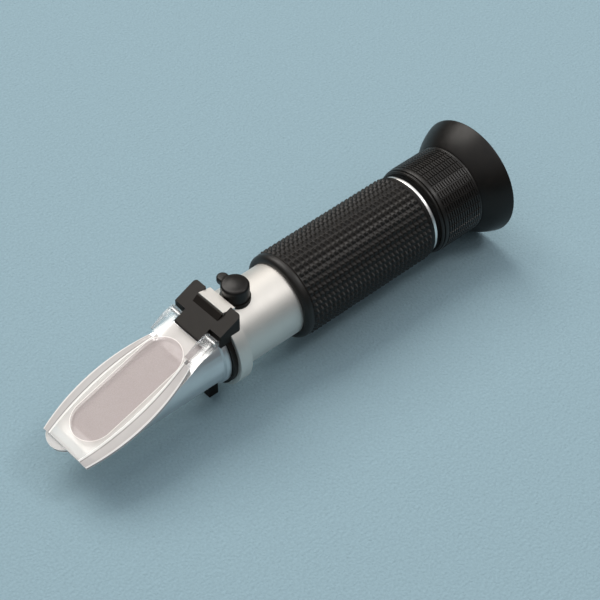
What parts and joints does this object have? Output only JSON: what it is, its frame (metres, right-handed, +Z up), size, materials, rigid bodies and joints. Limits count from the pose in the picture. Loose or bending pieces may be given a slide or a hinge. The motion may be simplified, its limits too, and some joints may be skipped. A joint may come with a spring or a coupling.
{
  "type": "refractometer",
  "caption": "Hand-held prism refractometer with a hinged clear cover plate, capped zero screw, rubber grip, ribbed focus sleeve and flared eyecup.",
  "frame": {"origin": "middle of the footprint, on the surface that the eyecup's rim and the clamp's lug rest on", "axes": "+X along the optical axis from the prism to the eyecup, +Z up, +Y to the left of someone who looks along +X"},
  "size_m": [0.1668, 0.04, 0.04],
  "materials": {
    "silver_tube": "satin",
    "cast_silver": "satin",
    "bright_ring": "polished",
    "grip_rubber": "moulded teeth",
    "sleeve_rubber": "moulded ribs",
    "eyecup_rubber": "satin",
    "cap_rubber": "satin",
    "hinge_plastic": "fine grain",
    "steel": "plain",
    "clip_steel": "satin",
    "clear_acrylic": "clear, with a frosted pad",
    "prism_glass": "polished",
    "lens_glass": "coated",
    "cement": "cured",
    "black_metal": "matte black",
    "brass": "turned",
    "two_metal": "rolled"
  },
  "bodies": {
    "body": {"body_tube": "silver_tube", "end_ring": "bright_ring", "grip_sleeve": "grip_rubber", "screw_seat": "hinge_plastic", "main_prism": "prism_glass", "prism_seal": "cement", "prism_housing": "cast_silver", "light_baffle": "black_metal", "hinge_mount": "hinge_plastic", "hinge_pin": "steel", "clamp_screw": "steel", "clamp_nut": "steel", "spring_clip": "clip_steel", "objective_mount": "black_metal", "reticle_carrier": "black_metal", "reticle": "lens_glass", "reticle_ring": "brass"},
    "cover": {"daylight_plate": "clear_acrylic"},
    "objective_carriage": {"objective_cell": "black_metal", "objective_lens": "lens_glass", "temperature_strip": "two_metal", "strip_screws": "steel"},
    "zero_adjuster": {"calibration_screw": "brass"},
    "adjuster_cap": {"screw_cap": "cap_rubber"},
    "lens_carriage": {"eyepiece_cell": "black_metal", "field_lens": "lens_glass", "lens_spacer": "black_metal", "eye_lens": "lens_glass", "lens_retainer": "black_metal"},
    "eyepiece": {"focus_barrel": "black_metal", "focus_sleeve": "sleeve_rubber", "eyecup": "eyecup_rubber", "cell_retainer": "black_metal"}
  },
  "joints": [
    {"name": "cover_hinge", "type": "hinge", "parent": "body", "child": "cover", "pos_m": [-0.03234, 0, 0.0305], "axis": [0, 1, 0], "range_deg": [0, 100]},
    {"name": "focus_slide", "type": "slide", "parent": "body", "child": "lens_carriage", "axis": [1, 0, 0], "range_m": [-0.001, 0.004]},
    {"name": "focus_turn", "type": "hinge", "parent": "lens_carriage", "child": "eyepiece", "pos_m": [0.06336, 0, 0.02], "axis": [1, 0, 0], "range_deg": [-60.1, 240.1]},
    {"name": "objective_shift", "type": "slide", "parent": "body", "child": "objective_carriage", "axis": [0, 0, 1], "range_m": [-0.00025, 0.00025]},
    {"name": "zero_turn", "type": "hinge", "parent": "objective_carriage", "child": "zero_adjuster", "pos_m": [-0.01614, 0, 0.032], "axis": [0, 0, 1], "range_deg": [-180.1, 180.1]},
    {"name": "cap_pull", "type": "slide", "parent": "body", "child": "adjuster_cap", "axis": [0, 0, 1], "range_m": [0, 0.008]}
  ],
  "couplings": [
    {"joint": "focus_turn", "follows": "focus_slide", "rad_per_m": 1047.2},
    {"joint": "zero_turn", "follows": "objective_shift", "rad_per_m": 12566}
  ]
}
